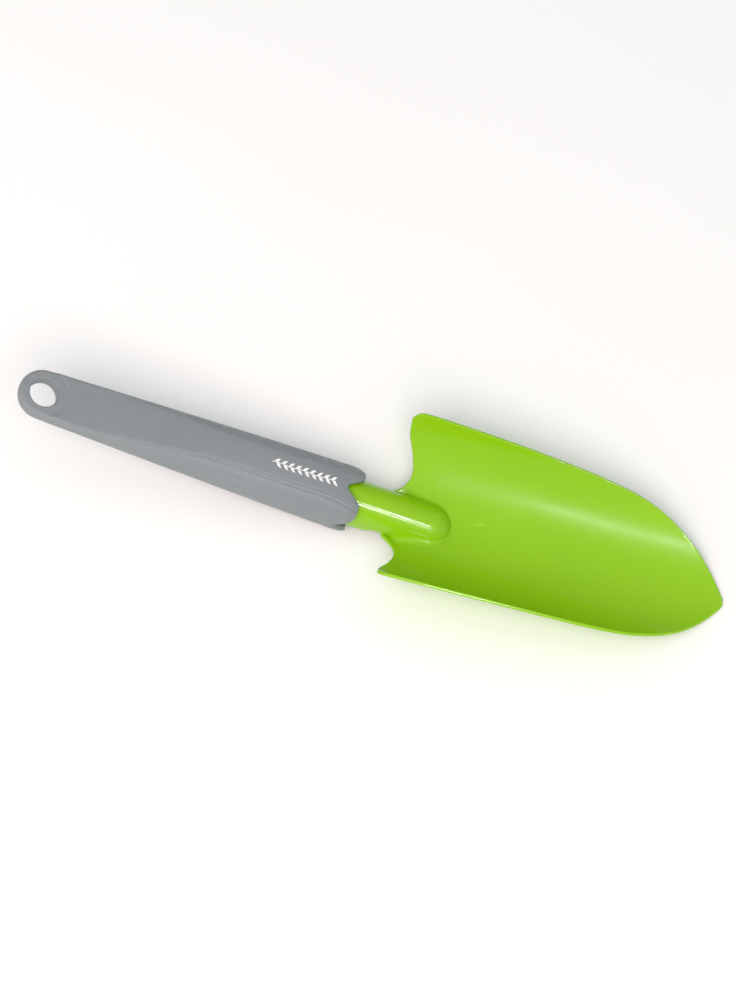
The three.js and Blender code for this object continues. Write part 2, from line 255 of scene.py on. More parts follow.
def lathe(profile, segments=96):
    """A closed solid about Z from (radius, height) points that start and end on the axis."""
    points = []
    faces = []
    inner = profile[1:-1]
    for i in range(segments):
        angle = math.tau * i / segments
        points += [(r * math.cos(angle), r * math.sin(angle), z) for r, z in inner]
    low, high = len(points), len(points) + 1
    points += [(0, 0, profile[0][1]), (0, 0, profile[-1][1])]
    n = len(inner)
    for i in range(segments):
        a, b = i * n, ((i + 1) % segments) * n
        faces += [(a + k, b + k, b + k + 1, a + k + 1) for k in range(n - 1)]
        faces += [(low, b, a), (high, a + n - 1, b + n - 1)]
    return np.array(points, float), faces


def across_handle(points, h):
    """A solid drawn about Z moved to stand across the handle's axis at h."""
    return points + np.array([-h, 0, 0])


def boolean(piece, other, operation):
    """Applies a boolean to the piece and takes the other object out of the scene."""
    modifier = piece.modifiers.new(operation, "BOOLEAN")
    modifier.operation = operation
    modifier.solver = "EXACT"
    modifier.object = other
    bpy.context.view_layer.update()
    depsgraph = bpy.context.evaluated_depsgraph_get()
    cut = bpy.data.meshes.new_from_object(piece.evaluated_get(depsgraph))
    piece.modifiers.remove(modifier)
    piece.data = cut
    bpy.data.objects.remove(other)
    drop_slivers(cut)


def drop_slivers(mesh):
    """Splits a mesh into triangles and takes out those with no area."""
    bm = bmesh.new()
    bm.from_mesh(mesh)
    bmesh.ops.remove_doubles(bm, verts=bm.verts, dist=SLIVER)
    bmesh.ops.triangulate(bm, faces=bm.faces)
    bmesh.ops.dissolve_degenerate(bm, edges=bm.edges, dist=SLIVER)
    bm.to_mesh(mesh)
    bm.free()


# ---- head ----

# Half outline of the blade as (s, y) points, from its point round to the neck
SIDE_EDGE = (
    (0, 0), (1, 3.1), (8.5, 12.5), (18, 20.8), (30.4, 27.5), (45, 32), (66, 34.7), (100, 36.9),
    (DOME_CENTRE, 38.2),
)
LOBE_EDGE = ((DOME_CENTRE, 38.2), (144.6, 38.5), (148.6, 38.2), (151.6, 36.7))
REAR_EDGE = (
    (NECK_JOIN, NECK_RADIUS), (149.4, 11.9), (146.2, 15.6), (145.2, 20), (147.2, 26), (150.6, 31.8),
    (151.6, 36.7),
)
skirt_depth = through([(151, 1.0), (155.2, 0.65), (157.8, 2.3), (160, 3.6), (163.5, 4.2)])

RIDGE_COLUMNS = 30  # per side, from the centre line to the ridge's foot
WING_COLUMNS = 60  # per side, from there to the edge
WING_SPACING = 1.3  # above 1, columns get closer towards the edge
FAN_ROWS = 110  # from straight ahead of the round front end to straight across it
REAR_ROWS = 34  # from there to the rear edge
TANG_ROWS = 64
TANG_SPACING = 1.4
REAR_ROUND_START = 0.2  # share of the rear edge over which its rounding begins beside the neck
REAR_CORNER = 0.7  # share of the rear edge behind which it turns to meet the lobe
LOBE_CORNER = 0.4  # share of the lobe behind which it turns to meet the rear edge


def gutter_radius(s):
    taper = np.maximum(0, (s - TANG_TAPER_START) / (TANG_END - TANG_TAPER_START))
    return mix(NECK_RADIUS, TANG_END_RADIUS, taper)


def blade_floor(s):
    return mix(FLOOR_FRONT, FLOOR_REAR, ease(s, *FLOOR_RISE))


def rear_drop(s):
    """How far the blade's middle sinks towards the neck's lower edge."""
    return REAR_DROP * ease(s, DOME_CENTRE, NECK_CHANGE[1])


def blade_level(s, y):
    sink = rear_drop(s) * (1 - ease(y, *DROP_ACROSS))
    return blade_floor(s) - sink + BLADE_RADIUS - np.sqrt(BLADE_RADIUS**2 - y * y)


def ridge_section(centre, floor, radius):
    """Half sections of the round ridge with a fillet onto a dished floor, one row each.

    Gives the distance across, the level, and how far round the fillet each point lies.
    """
    reach = NECK_RADIUS + FILLET
    top = floor + radius
    level = (reach**2 - (radius - FILLET) ** 2 + top**2 - centre**2) / (2 * (top - centre))
    across = np.sqrt(reach**2 - (level - centre) ** 2)
    steepest = np.arctan2(across, level - centre)[:, None]
    turn = steepest + np.arctan2(across, top - level)[:, None]
    arc = NECK_RADIUS * steepest
    length = (arc + FILLET * turn) * np.linspace(0, 1, RIDGE_COLUMNS + 1)
    angle = np.minimum(length, arc) / NECK_RADIUS
    bend = steepest - (length - arc) / FILLET
    on_arc = length <= arc
    y = np.where(on_arc, NECK_RADIUS * np.sin(angle), across[:, None] - FILLET * np.sin(bend))
    ridge = centre[:, None] + NECK_RADIUS * np.cos(angle)
    z = np.where(on_arc, ridge, level[:, None] - FILLET * np.cos(bend))
    return y, z, np.maximum(length - arc, 0) / (FILLET * turn)


def gutter_section(s):
    """Half sections of the gutter: a half round with straight sides."""
    radius = gutter_radius(s)[:, None]
    skirt = skirt_depth(s)[:, None] * radius / NECK_RADIUS
    length = (radius * math.pi / 2 + skirt) * np.linspace(0, 1, RIDGE_COLUMNS + 1)
    angle = np.minimum(length / radius, math.pi / 2)
    side = np.maximum(length - radius * math.pi / 2, 0)
    return radius * np.sin(angle), neck_line(s)[:, None] + radius * np.cos(angle) - side


def inset(curve, amount):
    """A plan curve of the half outline moved inwards by its edge rounding."""
    tangent = unit(np.gradient(curve, axis=0))
    return curve - np.stack([-tangent[:, 1], tangent[:, 0]], axis=1) * np.asarray(amount)[..., None]


def wing_shares():
    """Shares of the way from the ridge's foot to the edge, by column."""
    return 1 - (1 - np.linspace(0, 1, WING_COLUMNS + 1)) ** WING_SPACING


def fan_rows():
    """Rows from the ridge's round end to the side edge, from straight ahead to straight across."""
    edge = inset(spline(SIDE_EDGE, np.linspace(0, 1, FAN_ROWS + 1)), EDGE_ROUND)
    edge[0, 1] = 0
    edge[-1, 0] = DOME_CENTRE
    away = np.stack([DOME_CENTRE - edge[:, 0], edge[:, 1]], axis=1)
    ahead, aside = unit(away).T[..., None]
    centre = np.full(len(edge), neck_line(DOME_CENTRE))
    floor = np.full(len(edge), FLOOR_REAR)
    radius = BLADE_RADIUS / np.maximum(aside[:, 0] ** 2, LEAST_CURVE)
    across, z, fillet = ridge_section(centre, floor, radius)
    s = DOME_CENTRE - across * ahead
    z = z + (neck_line(s) - neck_line(DOME_CENTRE)) * (1 - ease(fillet, 0, 1))
    ridge = np.stack([s, across * aside, z], axis=-1)
    far = np.linalg.norm(away, axis=1)[:, None]
    reach = mix(across[:, -1:], far, wing_shares()[1:])
    return settled(ridge, DOME_CENTRE - reach * ahead, reach * aside)


def settled(ridge, s, y):
    """The ridge's columns and the blade's outside them, with the blade eased onto the ridge's foot."""
    foot = ridge[:, -1:]
    gap = foot[..., 2] - blade_level(foot[..., 0], foot[..., 1])
    away = np.hypot(s - foot[..., 0], y - foot[..., 1])
    z = blade_level(s, y) + gap * (1 - ease(away, 0, WING_BLEND))
    return np.concatenate([ridge, np.stack([s, y, z], axis=-1)], axis=1)


def neck_rows(s):
    """Rows across the ridge at s, as it changes from the filleted ridge into the bare gutter."""
    y, z, _ = ridge_section(neck_line(s), blade_floor(s) - rear_drop(s), np.full(len(s), BLADE_RADIUS))
    gutter_y, gutter_z = gutter_section(s)
    change = ease(s, *NECK_CHANGE)[:, None]
    return np.stack([s[:, None] + 0 * y, mix(y, gutter_y, change), mix(z, gutter_z, change)], axis=-1)


def rear_patch():
    """Rows across the blade's rear, between the ridge's foot, the lobe and the rear edge."""
    rows = np.linspace(0, 1, REAR_ROWS + 1)[1:]
    columns = wing_shares()
    ridge = neck_rows(mix(DOME_CENTRE, NECK_JOIN, rows))
    foot = ridge[:, -1, :2]
    rounding = EDGE_ROUND * ease(columns[::-1], 0, REAR_ROUND_START)
    rear = inset(spline(REAR_EDGE, columns)[::-1], rounding)[::-1]
    lobe = inset(spline(LOBE_EDGE, rows), EDGE_ROUND)
    corner = (rear[-1] + lobe[-1]) / 2
    rear += (corner - rear[-1]) * ease(columns, REAR_CORNER, 1)[:, None]
    lobe += (corner - lobe[-1]) * ease(rows, LOBE_CORNER, 1)[:, None]
    rear[0] = foot[-1]
    straight = mix(foot[:, None], lobe[:, None], columns[None, :, None])
    lift = rear - mix(foot[-1], lobe[-1], columns[:, None])
    plan = (straight + rows[:, None, None] * lift)[:, 1:]
    return settled(ridge, plan[..., 0], plan[..., 1])


def tang_rows():
    t = np.linspace(0, 1, TANG_ROWS + 1)[1:]
    return neck_rows(mix(NECK_JOIN, TANG_END, t**TANG_SPACING))


def head_surface():
    """Points and faces of the head's upper face."""
    halves = [np.concatenate([fan_rows(), rear_patch()]), tang_rows()]
    points = []
    grids = []
    for side in (1, -1):
        for block in halves:
            grids.append(np.arange(block[..., 0].size).reshape(block.shape[:2]) + len(points))
            points += (block * np.array([-1, side, 1])).reshape(-1, 3).tolist()
    points = np.array(points)
    _, first, same = np.unique(np.round(points, 5), axis=0, return_index=True, return_inverse=True)
    same = same.reshape(-1)
    faces = []
    for body, tang, mirrored in ((grids[0], grids[1], False), (grids[2], grids[3], True)):
        joined = np.concatenate([body[-1:, : RIDGE_COLUMNS + 1], tang])
        for block in (body, joined):
            for face in grid_faces(same[block]):
                face = list(dict.fromkeys(face))
                if len(face) > 2:
                    faces.append(face[::-1] if mirrored else face)
    return points[first], faces


def boundary(faces):
    """The one closed loop of edges that only one face uses."""
    used = {(face[k - 1], face[k]) for face in faces for k in range(len(face))}
    follow = {a: b for a, b in used if (b, a) not in used}
    loop = [min(follow)]
    while follow[loop[-1]] != loop[0]:
        loop.append(follow[loop[-1]])
    return loop


def evened(directions, rounds=8):
    """Unit directions round a loop, evened out so that they turn gently through corners."""
    for _ in range(rounds):
        directions = unit(np.roll(directions, 1, axis=0) + 2 * directions + np.roll(directions, -1, axis=0))
    return directions


def build_head():
    """One sheet with rounded edges, and the hole for the screw."""
    points, faces = head_surface()
    normals = vertex_normals(points, faces)
    if normals[:, 2].mean() < 0:
        normals = -normals
        faces = [face[::-1] for face in faces]
    loop = boundary(faces)
    normals[loop] = evened(normals[loop])
    edge = points[loop]
    tangent = unit(np.roll(edge, -1, axis=0) - np.roll(edge, 1, axis=0))
    outward = evened(unit(np.cross(tangent, normals[loop])))
    rings = rim_rings(edge, normals[loop], outward, SHEET, EDGE_ROUND)
    count = len(points)
    every = np.concatenate([points, points - normals * SHEET, *rings])
    faces = faces + [[v + count for v in face[::-1]] for face in faces]
    bands = [np.array(loop)]
    bands += [np.arange(len(loop)) + 2 * count + k * len(loop) for k in range(len(rings))]
    bands += [np.array(loop) + count]
    for upper, under in zip(bands, bands[1:]):
        faces += np.stack([np.roll(upper, -1), upper, under, np.roll(under, -1)], axis=1).tolist()
    piece = mesh_object("painted_head", tool_to_row(every), faces)
    radius = SHANK_RADIUS + SCREW_GAP
    hole = [(0, BOSS_SHOULDER), (radius, BOSS_SHOULDER), (radius, HEAD_HOLE_TOP), (0, HEAD_HOLE_TOP)]
    boolean(piece, turned_solid("screw_hole", hole, SCREW_H), "DIFFERENCE")
    finish_shading(piece, HEAD_SHARP)
    return piece


# ---- handle ----

# Half sizes of the grip's section as (h, value) points
grip_width = through([
    (0, 13.05), (4, 14.2), (11, 14.2), (38, 13.7), (74, 12.75), (118, 11.5), (138, 11.1),
    (EYE_CENTRE, EYE_RADIUS),
])
grip_height = through([
    (0, 11), (4, 12.2), (11, 12.9), (28, 12.5), (60, 11.4), (78, 10), (98, 7.3), (116, 4.8),
    (131, EYE_HALF_THICKNESS), (EYE_CENTRE, EYE_HALF_THICKNESS),
])
crease_round = through([(0, 0.45), (60, 0.4), (100, 0.7), (131, 1.4)])
# Depth of a notch in the mouth by distance from its middle
notch_outline = through([
    (0, 7.5), (1.3, 7.1), (2.3, 6.2), (3.2, 4.6), (4.4, 2.7), (5.6, 1.3), (6.8, 0.4), (7.7, 0.0)
])
NOTCH_H = 6.0  # h at which the distance to a notch's middle is measured

FLAT_CELLS = 20
FILLET_CELLS = 5
SIDE_CELLS = 104
HALF_RING = 2 * FLAT_CELLS + 2 * FILLET_CELLS + SIDE_CELLS
# Each groove: share of the way from crease to side at the mouth and at GROOVE_RUN, and h where it ends
GROOVES = ((0.035, 0.03, 118), (0.18, 0.10, 96), (0.50, 0.44, 84))
GROOVE_RUN = 90.0
GROOVE_FADE = 22.0
GROOVE_DEPTH = 0.3
GROOVE_WIDTH = 0.32
CREASE_LIMIT = 0.6  # most of the half height that the crease's rounding may take
ROLL_OFF = 0.45  # drop of the flats at their creases
ROLL_POWER = 2.2
ROLL_ON_FLAT = (0.7, 0.95)  # share of the half height over which that drop comes in
ROLL_END = (100, 128)  # h over which it fades out
LEAST_FLAT = 0.01  # square of the smallest half width of a flat
RECESS_EASE = 0.6  # half width of the step round the eye
RECESS_SIDE = (0.5, 2.4)  # level over which the recess fades in from the middle plane

CROWN_ROWS = 30
CROWN_SPACING = 0.85
PLAIN_STEP = 1.35
PLAIN_END = 130.0
EYE_START = 130.4
EYE_ROWS = 32
INNER_CROWN_ROWS = 12
INNER_ROWS = 24


def grip_section(h, column, shrink=0.0):
    """(y, z) of the grip's half section at h, for columns 0 (top) to HALF_RING (bottom)."""
    r = grip_width(h) - shrink
    b = grip_height(h) - shrink
    c = np.minimum(crease_round(h), b * CREASE_LIMIT)
    flat = np.sqrt((r - c) ** 2 - (b - c) ** 2)
    corner = np.arccos((b - c) / (r - c))
    mirrored = column > HALF_RING / 2
    k = np.where(mirrored, HALF_RING - column, column)
    on_flat = k <= FLAT_CELLS
    on_fillet = k <= FLAT_CELLS + FILLET_CELLS
    turn = corner * (k - FLAT_CELLS) / FILLET_CELLS
    around = mix(corner, math.pi / 2, (k - FLAT_CELLS - FILLET_CELLS) / (SIDE_CELLS / 2))
    y = np.where(on_fillet, flat + c * np.sin(turn), r * np.sin(around))
    z = np.where(on_fillet, b - c + c * np.cos(turn), r * np.cos(around))
    y = np.where(on_flat, flat * k / FLAT_CELLS, y)
    z = np.where(on_flat, b, z)
    return y, np.where(mirrored, -z, z)


def groove_depth(h, y, z):
    """Depth of the fine moulded lines that run back from the mouth along both sides."""
    r = grip_width(h)
    theta = np.arctan2(y, np.abs(z))
    crease = np.arccos(np.clip(grip_height(h) / r, -1, 1))
    depth = 0
    for front, rear, end in GROOVES:
        line = crease + (math.pi / 2 - crease) * mix(front, rear, np.clip(h / GROOVE_RUN, 0, 1))
        shape = np.exp(-(((theta - line) * r / GROOVE_WIDTH) ** 2))
        depth = depth + shape * (1 - ease(h, end - GROOVE_FADE, end))
    return GROOVE_DEPTH * depth


def roll_off(h, y, z):
    """How far the flats roll down towards the crease, fading out before the eye."""
    b = grip_height(h)
    half_flat = np.sqrt(np.maximum(grip_width(h) ** 2 - b * b, LEAST_FLAT))
    share = np.clip(np.abs(y) / half_flat, 0, 1)
    strength = ease(np.abs(z) / b, *ROLL_ON_FLAT) * (1 - ease(h, *ROLL_END))
    return ROLL_OFF * share**ROLL_POWER * strength


def recess_depth(h, y, z):
    """The shallow round step on top around the eye."""
    distance = np.hypot(h - EYE_CENTRE, y)
    inside = 1 - ease(distance, RECESS_RADIUS - RECESS_EASE, RECESS_RADIUS + RECESS_EASE)
    return RECESS_DEPTH * inside * ease(z, *RECESS_SIDE)


def outer_points(h, column):
    """The grip's half section with its rolled flats, grooves and the recess round the eye."""
    y, z = grip_section(h, column)
    z = z - np.sign(z) * roll_off(h, y, z)
    groove = groove_depth(h, y, z)
    theta = np.arctan2(y, z)
    y = y - groove * np.sin(theta)
    z = z - groove * np.cos(theta)
    z = z - recess_depth(h, y, z)
    return np.stack([-h, y, z], axis=-1)


def crown_front(column):
    """h of the mouth's edge by column: four fingers with rounded notches between them."""
    y, z = grip_section(np.full(column.shape, NOTCH_H), column)
    theta = np.arctan2(y, z)
    nearest = np.round(theta / (math.pi / 2)) * (math.pi / 2)
    return notch_outline(np.hypot(y, z) * np.abs(np.sin(theta - nearest))) + LIP_ROUND


def both_sides(half):
    """A half grid with the other half mirrored on, as a closed ring of columns."""
    other = half[:, -2:0:-1] * np.array([1, -1, 1])
    return np.concatenate([half, other], axis=1)


def ring_faces(first, rows, count):
    ids = first + np.arange(rows * count).reshape(rows, count)
    return grid_faces(np.concatenate([ids, ids[:, :1]], axis=1))


def eye_end():
    """The rounded rear end: two flats laid out as half discs, and the wall that joins them."""
    steps = np.linspace(0, 1, FLAT_CELLS + 1)
    columns = np.arange(HALF_RING + 1)
    y, z = grip_section(np.full(columns.shape, EYE_CENTRE), columns)
    flat = y[FLAT_CELLS]
    rows = np.zeros((FLAT_CELLS + 1, HALF_RING + 1, 3))
    for i, u in enumerate(steps):
        direction = unit(np.array([u * math.sqrt(0.5), math.sqrt(1 - u * u / 2)]))
        rows[i, :, 0] = direction[0] * y
        rows[i, :, 1] = direction[1] * y
        rows[i, :, 2] = z
        for k, v in enumerate(steps):
            for column in (k, HALF_RING - k):
                rows[i, column, 0] = flat * u * math.sqrt(1 - v * v / 2)
                rows[i, column, 1] = flat * v * math.sqrt(1 - u * u / 2)
    wall = slice(FLAT_CELLS, HALF_RING - FLAT_CELLS + 1)
    end = np.zeros((FLAT_CELLS + 1, HALF_RING - 2 * FLAT_CELLS + 1, 3))
    for i, v in enumerate(steps):
        direction = unit(np.array([math.sqrt(1 - v * v / 2), v * math.sqrt(0.5)]))
        end[i, :, 0] = direction[0] * y[wall]
        end[i, :, 1] = direction[1] * y[wall]
        end[i, :, 2] = z[wall]
    for block in (rows, end):
        h = EYE_CENTRE + block[..., 0]
        block[..., 2] -= recess_depth(h, block[..., 1], block[..., 2])
        block[..., 0] = -h
    return rows, end


def handle_shell():
    """Points and faces of the grip's skin and cavity as one closed surface."""
    columns = np.arange(HALF_RING + 1)
    front = crown_front(columns)
    crown = mix(front[None], CROWN_DEPTH, np.linspace(0, 1, CROWN_ROWS)[:-1, None] ** CROWN_SPACING)
    towards_eye = np.linspace(EYE_START, EYE_CENTRE, EYE_ROWS)
    plain = np.concatenate([np.arange(CROWN_DEPTH, PLAIN_END, PLAIN_STEP), towards_eye])
    plain = np.repeat(plain[:, None], HALF_RING + 1, axis=1)
    h = np.concatenate([crown, plain])
    half = outer_points(h, columns[None])
    eye_rows, end = eye_end()
    half = np.concatenate([half[:-1], eye_rows])
    outer = both_sides(half)
    rows, count = outer.shape[:2]
    points = [outer.reshape(-1, 3)]
    faces = ring_faces(0, rows, count)
    total = rows * count
    for side in (1, -1):
        ids = total + np.arange(end[..., 0].size).reshape(end.shape[:2])
        points.append((end * np.array([1, side, 1])).reshape(-1, 3))
        total += ids.size
        faces += [face[::-1] for face in grid_faces(ids)] if side > 0 else grid_faces(ids)

    normals = vertex_normals(outer.reshape(-1, 3), ring_faces(0, rows, count)).reshape(outer.shape)
    if normals[:, 0, 2].mean() < 0:
        normals = -normals
    edge = outer[0]
    tangent = unit(np.roll(edge, -1, axis=0) - np.roll(edge, 1, axis=0))
    outward = unit(np.cross(tangent, normals[0]))
    if outward[:, 0].mean() < 0:
        outward = -outward
    rings = rim_rings(edge, normals[0], outward, WALL, LIP_ROUND)

    inner_crown = mix(front[None], CROWN_DEPTH, np.linspace(0, 1, INNER_CROWN_ROWS)[:-1, None])
    inner_plain = np.linspace(CROWN_DEPTH, CAVITY_DEPTH, INNER_ROWS)[:, None]
    inner_h = np.concatenate([inner_crown, np.repeat(inner_plain, HALF_RING + 1, axis=1)])
    y, z = grip_section(inner_h, columns[None], WALL)
    inner = both_sides(np.stack([-inner_h, y, z], axis=-1))
    tube = np.concatenate([edge[None], np.array(rings), inner])
    points.append(tube.reshape(-1, 3))
    faces += [face[::-1] for face in ring_faces(total, len(tube), count)]
    last = total + (len(tube) - 1) * count
    faces.append([last + k for k in range(count)])
    return np.concatenate(points), faces


CUT_MARGIN = 3.0  # how far a cutter stands past the face that it cuts
RIM_ROUND = 0.9  # rounding of the hang hole's rims
RIM_TURN = math.radians(78)
RIM_FLARE = 0.25
RIM_STEP = 0.06
SCREW_RIM = ((0.5, -0.1), (0.12, 0.25), (0, 0.5))  # how far out from, and how deep in, the recess's mouth
BOSS_OVERLAP = 0.5  # how far the boss starts inside the grip's wall
BOSS_CHAMFER = 0.5
POST_CHAMFER = 0.4


def hole_profile():
    """The hang hole with rounded rims, as a cutter."""
    top = EYE_HALF_THICKNESS - RECESS_DEPTH
    bottom = -EYE_HALF_THICKNESS
    angles = np.linspace(0, RIM_TURN, 6)
    out = [HOLE_RADIUS + RIM_ROUND * (1 - math.cos(a)) for a in angles]
    depth = [RIM_ROUND - RIM_ROUND * math.sin(a) for a in angles]
    lower = [(r, bottom + d) for r, d in zip(out[::-1], depth[::-1])]
    upper = [(r, top - d) for r, d in zip(out, depth)]
    flare = out[-1] + RIM_FLARE
    under = [(0, bottom - CUT_MARGIN), (flare, bottom - CUT_MARGIN), (flare, bottom - RIM_STEP)]
    above = [(flare, top + RIM_STEP), (flare, top + CUT_MARGIN), (0, top + CUT_MARGIN)]
    return under + lower + upper + above


def recess_profile():
    """The screw head's recess, with an eased rim."""
    radius = SCREW_HEAD_RADIUS + 2 * SCREW_GAP
    mouth = -float(grip_height(SCREW_H))
    bore = SHANK_RADIUS + SCREW_GAP
    rim = [(radius + out, mouth + deep) for out, deep in SCREW_RIM]
    below = [(0, mouth - CUT_MARGIN), (rim[0][0], mouth - CUT_MARGIN)]
    seat = [(radius, SEAT_LEVEL), (bore, SEAT_LEVEL), (bore, POST_HOLE_TOP), (0, POST_HOLE_TOP)]
    return below + rim + seat


def boss_profile():
    """The boss under the head and the post that reaches up inside it."""
    floor = -float(grip_height(SCREW_H)) + BOSS_OVERLAP
    top = float(gutter_radius(MOUTH + SCREW_H + POST_RADIUS)) - SHEET - SCREW_GAP - POST_DROP
    boss = [(0, floor), (BOSS_RADIUS, floor), (BOSS_RADIUS, BOSS_SHOULDER - BOSS_CHAMFER),
            (BOSS_RADIUS - BOSS_CHAMFER, BOSS_SHOULDER)]
    post = [(POST_RADIUS, BOSS_SHOULDER), (POST_RADIUS, top - POST_CHAMFER),
            (POST_RADIUS - POST_CHAMFER, top), (0, top)]
    return boss + post


def turned_solid(name, profile, h, segments=96):
    points, faces = lathe(profile, segments)
    return mesh_object(name, handle_to_row(across_handle(points, h)), faces)


def build_handle():
    """The hollow grip with its boss, screw recess and hang hole."""
    points, faces = handle_shell()
    piece = mesh_object("moulded_grip", handle_to_row(points), faces)
    boolean(piece, turned_solid("boss", boss_profile(), SCREW_H), "UNION")
    boolean(piece, turned_solid("recess", recess_profile(), SCREW_H), "DIFFERENCE")
    boolean(piece, turned_solid("hole", hole_profile(), EYE_CENTRE, 144), "DIFFERENCE")
    finish_shading(piece, GRIP_SHARP)
    return piece


# ---- screw ----


# Pan head's curve: share of its radius, and height
PAN_CURVE = ((0, 0), (0.35, 0.03), (0.62, 0.18), (0.84, 0.5), (0.96, 0.95), (1, 1.4))
PAN_EDGE = 0.15
THREAD_DEPTH = 0.35
THREAD_PITCH = 1.25
THREAD_FLANK = 0.35
THREAD_CREST = 0.15
THREAD_START = 0.8  # behind the head's seat
THREAD_RUNOUT = 2.2  # from the last turn's start to the screw's tip
TIP_PAST_HEAD = 1.2  # how far the screw comes out of the sheet's top
TIP_LENGTH = 1.6
TIP_RADIUS = 0.15
SLOT_HALF_LENGTH = 1.9
SLOT_HALF_WIDTH = 0.42
SLOT_DEPTH = 1.3
SLOT_FLOOR = 0.35  # share of its length that a slot keeps at its floor
SLOT_TAPER = 0.4  # how much of that shrinking the width takes part in
SLOT_CLEAR = 1.0
SCREW_SEGMENTS = 64
SCREW_SHARP = math.radians(35)


def cross_slot(base, turn):
    """One tapered arm pair of the cross recess, as a cutter."""
    corners = []
    for z, share in ((base - SLOT_CLEAR, 1.0), (base + SLOT_DEPTH, SLOT_FLOOR)):
        length = SLOT_HALF_LENGTH * share
        width = SLOT_HALF_WIDTH * (1 - SLOT_TAPER + SLOT_TAPER * share)
        for x, y in ((-length, -width), (length, -width), (length, width), (-length, width)):
            x, y = x * math.cos(turn) - y * math.sin(turn), x * math.sin(turn) + y * math.cos(turn)
            corners.append((x, y, z))
    sides = [(k, (k + 1) % 4, (k + 1) % 4 + 4, k + 4) for k in range(4)]
    points = handle_to_row(across_handle(np.array(corners), SCREW_H))
    return mesh_object("slot", points, [(3, 2, 1, 0), (4, 5, 6, 7)] + sides)


def build_screw():
    """Pan head with a cross recess, and a threaded shank."""
    seat = SEAT_LEVEL - SCREW_GAP
    base = seat - SCREW_HEAD_HEIGHT
    tip = float(gutter_radius(MOUTH + SCREW_H)) + TIP_PAST_HEAD
    root = SHANK_RADIUS - THREAD_DEPTH
    profile = [(SCREW_HEAD_RADIUS * share, base + rise) for share, rise in PAN_CURVE]
    profile += [(SCREW_HEAD_RADIUS, seat - PAN_EDGE), (SCREW_HEAD_RADIUS - PAN_EDGE, seat), (root, seat)]
    z = seat + THREAD_START
    while z < tip - THREAD_RUNOUT:
        crest = z + THREAD_FLANK
        fall = crest + THREAD_CREST
        profile += [(root, z), (SHANK_RADIUS, crest), (SHANK_RADIUS, fall), (root, fall + THREAD_FLANK)]
        z += THREAD_PITCH
    profile += [(root, tip - TIP_LENGTH), (TIP_RADIUS, tip), (0, tip)]
    piece = turned_solid("screw", profile, SCREW_H, SCREW_SEGMENTS)
    for turn in (0, math.pi / 2):
        boolean(piece, cross_slot(base, turn), "DIFFERENCE")
    finish_shading(piece, SCREW_SHARP)
    return piece


# ---- printed mark ----

PRINT_START = 13.5  # h of the mark's front end
PRINT_LENGTH = 29.0
PRINT_LIFT = 0.02
PRINT_THICKNESS = 0.03
STEM_SWAY = 0.22
STEM_WAVES = 0.55  # radians of sway per millimetre
STEM_HALF_WIDTH = 0.17
LEAF_PAIRS = 9
FIRST_LEAF = 0.35  # share of a pair's room that lies before its first leaf
LEAF_STAGGER = 0.9  # how far the leaves on one side stand behind those on the other
LEAF_ROOT = 0.1
LEAF_LENGTH = 2.3
LEAF_REACH = 2.1
LEAF_WIDTH = 1.15
LEAF_SWELL = 0.8  # below 1, a leaf is widest nearer its root


def leaf(base, tip, width, steps=12):
    """A flat leaf outline between two points."""
    base, tip = np.array(base, float), np.array(tip, float)
    along = tip - base
    side = np.array([-along[1], along[0]]) / np.linalg.norm(along)
    t = np.linspace(0, 1, steps + 1)
    swell = np.sin(math.pi * t**LEAF_SWELL) * width / 2
    left = base + t[:, None] * along + swell[:, None] * side
    right = base + t[:, None] * along - swell[:, None] * side
    return left, right


def print_strips():
    """Pairs of edge lines, each pair one printed shape: a stem with leaves on both sides."""
    x = np.linspace(0, PRINT_LENGTH, 40)
    wave = STEM_SWAY * np.sin(x * STEM_WAVES)
    strips = [tuple(np.stack([x, wave + offset], 1) for offset in (STEM_HALF_WIDTH, -STEM_HALF_WIDTH))]
    for i in range(LEAF_PAIRS):
        foot = (i + FIRST_LEAF) * PRINT_LENGTH / LEAF_PAIRS
        level = STEM_SWAY * math.sin(foot * STEM_WAVES)
        for side in (1, -1):
            start = foot + (LEAF_STAGGER if side < 0 else 0)
            root = (start, level + LEAF_ROOT * side)
            strips.append(leaf(root, (start + LEAF_LENGTH, side * LEAF_REACH), LEAF_WIDTH))
    return strips


def build_print():
    """The mark as thin closed slabs on the grip's top."""
    points = []
    faces = []
    for left, right in print_strips():
        first = len(points)
        n = len(left)
        for lift in (PRINT_LIFT + PRINT_THICKNESS, PRINT_LIFT - PRINT_THICKNESS):
            for line in (left, right):
                h = PRINT_START + PRINT_LENGTH - line[:, 0]
                level = grip_height(h) + lift
                points += np.stack([-h, line[:, 1], level], axis=1).tolist()
        a, b, c, d = (first + k * n for k in range(4))
        for i in range(n - 1):
            faces += [(a + i, b + i, b + i + 1, a + i + 1), (c + i, c + i + 1, d + i + 1, d + i)]
            faces += [(a + i, a + i + 1, c + i + 1, c + i), (b + i, d + i, d + i + 1, b + i + 1)]
        faces += [(a, c, d, b), (a + n - 1, b + n - 1, d + n - 1, c + n - 1)]
    return mesh_object("printed_sprig", handle_to_row(np.array(points)), faces)


# ---- materials ----


